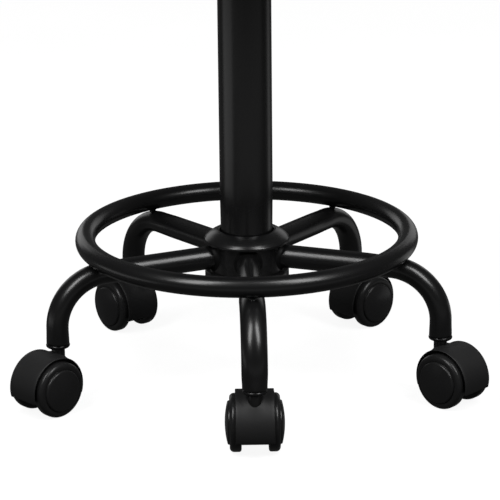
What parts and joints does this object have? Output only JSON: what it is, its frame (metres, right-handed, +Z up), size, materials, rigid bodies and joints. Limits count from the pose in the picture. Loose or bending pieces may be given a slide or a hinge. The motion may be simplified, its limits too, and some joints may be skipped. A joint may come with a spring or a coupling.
{
  "type": "adjustable swivel stool",
  "caption": "Round padded stool on a gas lift: tubular star base with a foot ring, hooded twin-wheel casters, seat that swivels and a side lever that releases its height.",
  "frame": {"origin": "on the floor, under the column's axis", "axes": "+Z up along the column; leg 1 points along -Y; the release lever points along +X"},
  "size_m": [0.4482, 0.4033, 0.525],
  "materials": {
    "black_powder_coat": "gloss black powder coat",
    "bare_steel": "turned",
    "socket_plastic": "moulded",
    "black_plastic": "moulded",
    "bright_steel": "zinc plated",
    "black_cylinder": "ground and blacked",
    "bumper_rubber": "matte",
    "plywood": "bare plywood",
    "cover_fabric": "non-woven cloth",
    "seat_leather": "grained imitation leather",
    "caster_plastic": "satin moulded nylon",
    "wheel_plastic": "satin moulded nylon"
  },
  "bodies": {
    "base": {"hub_shell": "black_powder_coat", "hub_collar": "black_powder_coat", "hub_foot_plate": "black_powder_coat", "taper_sleeve": "bare_steel", "leg_1": "black_powder_coat", "leg_2": "black_powder_coat", "leg_3": "black_powder_coat", "leg_4": "black_powder_coat", "leg_5": "black_powder_coat", "stem_socket_1": "socket_plastic", "stem_socket_2": "socket_plastic", "stem_socket_3": "socket_plastic", "stem_socket_4": "socket_plastic", "stem_socket_5": "socket_plastic", "foot_ring": "black_powder_coat", "ring_studs": "black_powder_coat", "lift_tube": "black_powder_coat", "guide_bush": "black_plastic", "bearing_race_lower": "bright_steel", "caster_stem_1": "black_powder_coat", "caster_stem_2": "black_powder_coat", "caster_stem_3": "black_powder_coat", "caster_stem_4": "black_powder_coat", "caster_stem_5": "black_powder_coat"},
    "rod": {"piston_rod": "bright_steel", "bearing_race_upper": "bright_steel", "retaining_clip": "bright_steel", "stop_bumper": "bumper_rubber"},
    "bearing_cage": {"bearing_balls": "bright_steel"},
    "seat": {"lift_cylinder": "black_cylinder", "seat_plate": "black_powder_coat", "cone_socket": "black_powder_coat", "seat_board": "plywood", "tee_nuts": "bright_steel", "seat_bolts": "bright_steel", "dust_cover": "cover_fabric", "seat_cushion": "seat_leather"},
    "lever": {"release_lever": "black_powder_coat", "lever_grip": "black_plastic"},
    "pin": {"release_pin": "bright_steel"},
    "caster_1": {"caster_hood_1": "caster_plastic", "caster_axle_1": "bright_steel"},
    "wheel_1_left": {"wheel_left_1": "wheel_plastic"},
    "wheel_1_right": {"wheel_right_1": "wheel_plastic"},
    "caster_2": {"caster_hood_2": "caster_plastic", "caster_axle_2": "bright_steel"},
    "wheel_2_left": {"wheel_left_2": "wheel_plastic"},
    "wheel_2_right": {"wheel_right_2": "wheel_plastic"},
    "caster_3": {"caster_hood_3": "caster_plastic", "caster_axle_3": "bright_steel"},
    "wheel_3_left": {"wheel_left_3": "wheel_plastic"},
    "wheel_3_right": {"wheel_right_3": "wheel_plastic"},
    "caster_4": {"caster_hood_4": "caster_plastic", "caster_axle_4": "bright_steel"},
    "wheel_4_left": {"wheel_left_4": "wheel_plastic"},
    "wheel_4_right": {"wheel_right_4": "wheel_plastic"},
    "caster_5": {"caster_hood_5": "caster_plastic", "caster_axle_5": "bright_steel"},
    "wheel_5_left": {"wheel_left_5": "wheel_plastic"},
    "wheel_5_right": {"wheel_right_5": "wheel_plastic"}
  },
  "joints": [
    {"name": "seat_swivel", "type": "hinge", "parent": "base", "child": "rod", "pos_m": [0, 0, 0.11], "axis": [0, 0, 1], "continuous": true},
    {"name": "cage_turn", "type": "hinge", "parent": "base", "child": "bearing_cage", "pos_m": [0, 0, 0.11], "axis": [0, 0, 1], "continuous": true},
    {"name": "seat_height", "type": "slide", "parent": "rod", "child": "seat", "axis": [0, 0, 1], "range_m": [0, 0.2]},
    {"name": "lever_lift", "type": "hinge", "parent": "seat", "child": "lever", "pos_m": [0.02, 0, 0.4454], "axis": [0, -1, 0], "range_deg": [0, 8], "stiffness_Nm_per_rad": 5, "springref_deg": -2.86},
    {"name": "pin_press", "type": "slide", "parent": "seat", "child": "pin", "axis": [0, 0, -1], "range_m": [0, 0.0032]},
    {"name": "caster_swivel_1", "type": "hinge", "parent": "base", "child": "caster_1", "pos_m": [0, -0.1885, 0.045], "axis": [0, 0, 1], "continuous": true},
    {"name": "wheel_spin_left_1", "type": "hinge", "parent": "caster_1", "child": "wheel_1_left", "pos_m": [0.00027, -0.173, 0.0265], "axis": [-0.9998, 0.0175, 0], "continuous": true},
    {"name": "wheel_spin_right_1", "type": "hinge", "parent": "caster_1", "child": "wheel_1_right", "pos_m": [0.00027, -0.173, 0.0265], "axis": [-0.9998, 0.0175, 0], "continuous": true},
    {"name": "caster_swivel_2", "type": "hinge", "parent": "base", "child": "caster_2", "pos_m": [0.17927, -0.05825, 0.045], "axis": [0, 0, 1], "continuous": true},
    {"name": "wheel_spin_left_2", "type": "hinge", "parent": "caster_2", "child": "wheel_2_left", "pos_m": [0.19004, -0.0694, 0.0265], "axis": [0.7193, 0.6947, 0], "continuous": true},
    {"name": "wheel_spin_right_2", "type": "hinge", "parent": "caster_2", "child": "wheel_2_right", "pos_m": [0.19004, -0.0694, 0.0265], "axis": [0.7193, 0.6947, 0], "continuous": true},
    {"name": "caster_swivel_3", "type": "hinge", "parent": "base", "child": "caster_3", "pos_m": [0.1108, 0.1525, 0.045], "axis": [0, 0, 1], "continuous": true},
    {"name": "wheel_spin_left_3", "type": "hinge", "parent": "caster_3", "child": "wheel_3_left", "pos_m": [0.1225, 0.16267, 0.0265], "axis": [-0.6561, 0.7547, 0], "continuous": true},
    {"name": "wheel_spin_right_3", "type": "hinge", "parent": "caster_3", "child": "wheel_3_right", "pos_m": [0.1225, 0.16267, 0.0265], "axis": [-0.6561, 0.7547, 0], "continuous": true},
    {"name": "caster_swivel_4", "type": "hinge", "parent": "base", "child": "caster_4", "pos_m": [-0.1108, 0.1525, 0.045], "axis": [0, 0, 1], "continuous": true},
    {"name": "wheel_spin_left_4", "type": "hinge", "parent": "caster_4", "child": "wheel_4_left", "pos_m": [-0.11991, 0.16504, 0.0265], "axis": [-0.809, -0.5878, 0], "continuous": true},
    {"name": "wheel_spin_right_4", "type": "hinge", "parent": "caster_4", "child": "wheel_4_right", "pos_m": [-0.11991, 0.16504, 0.0265], "axis": [-0.809, -0.5878, 0], "continuous": true},
    {"name": "caster_swivel_5", "type": "hinge", "parent": "base", "child": "caster_5", "pos_m": [-0.17927, -0.05825, 0.045], "axis": [0, 0, 1], "continuous": true},
    {"name": "wheel_spin_left_5", "type": "hinge", "parent": "caster_5", "child": "wheel_5_left", "pos_m": [-0.19061, -0.06882, 0.0265], "axis": [0.682, -0.7314, 0], "continuous": true},
    {"name": "wheel_spin_right_5", "type": "hinge", "parent": "caster_5", "child": "wheel_5_right", "pos_m": [-0.19061, -0.06882, 0.0265], "axis": [0.682, -0.7314, 0], "continuous": true}
  ],
  "couplings": [
    {"joint": "cage_turn", "follows": "seat_swivel", "ratio": 0.5},
    {"joint": "pin_press", "follows": "lever_lift", "m_per_rad": 0.0225}
  ]
}
